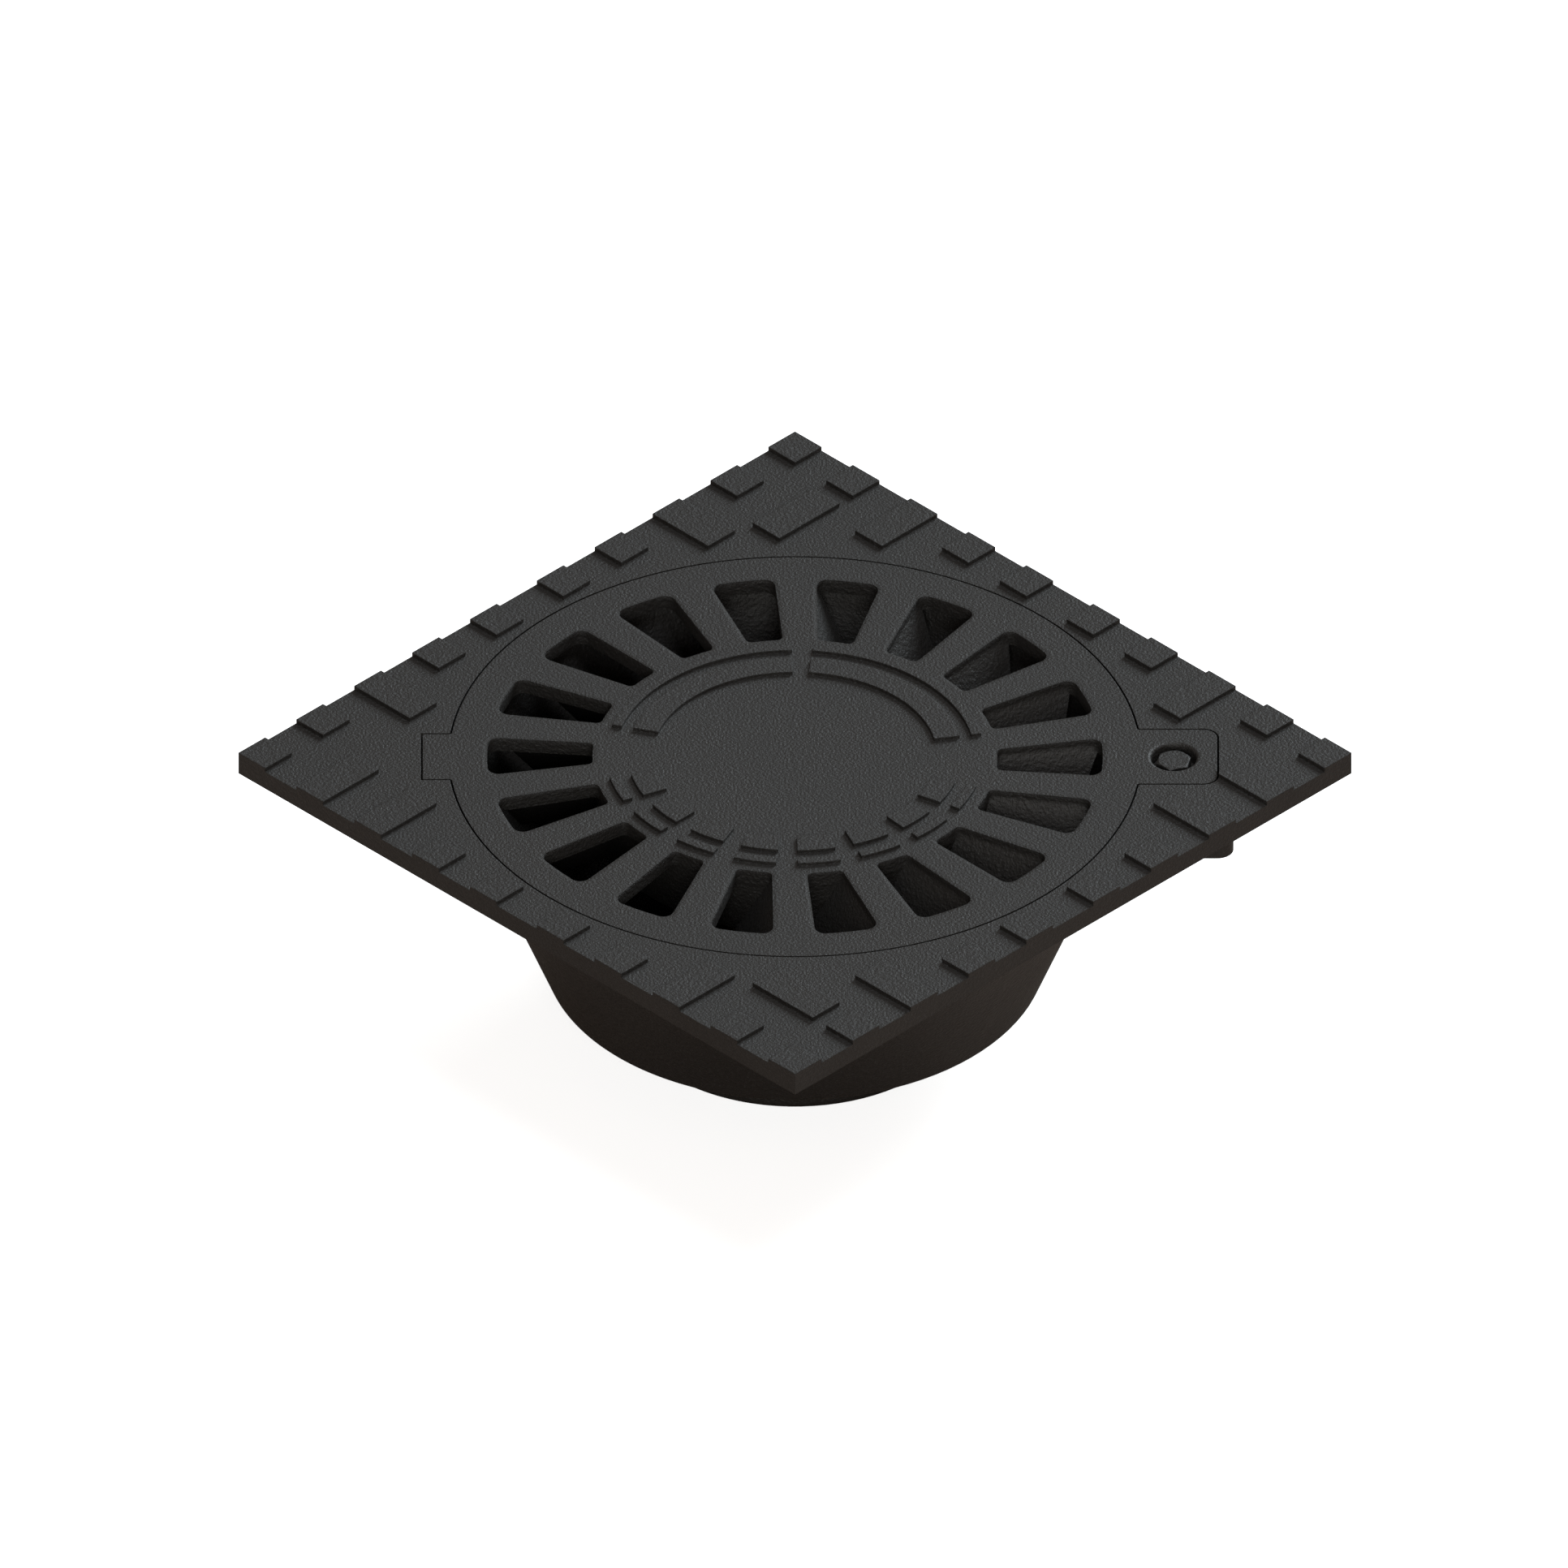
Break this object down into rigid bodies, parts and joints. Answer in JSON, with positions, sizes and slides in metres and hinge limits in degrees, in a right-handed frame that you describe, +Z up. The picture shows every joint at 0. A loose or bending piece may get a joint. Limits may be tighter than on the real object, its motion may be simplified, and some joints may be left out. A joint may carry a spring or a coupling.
{
  "type": "terrace drain",
  "caption": "Square cast iron terrace drain: round grate with slanted slots, bolted into a flanged frame with a conical bowl and a vertical spigot.",
  "frame": {"origin": "middle of the spigot's foot, which is the middle of the underside", "axes": "+Z up along the spigot's axis; +X and +Y along the sides of the flange; the lock tab points between them"},
  "size_m": [0.25, 0.25, 0.1],
  "materials": {
    "frame_iron": "black coating on a sand-cast surface",
    "grate_iron": "black coating on a sand-cast surface",
    "bolt_steel": "blackened"
  },
  "bodies": {
    "root": {"drain_body": "frame_iron", "grate": "grate_iron", "lock_bolt": "bolt_steel"}
  },
  "joints": []
}
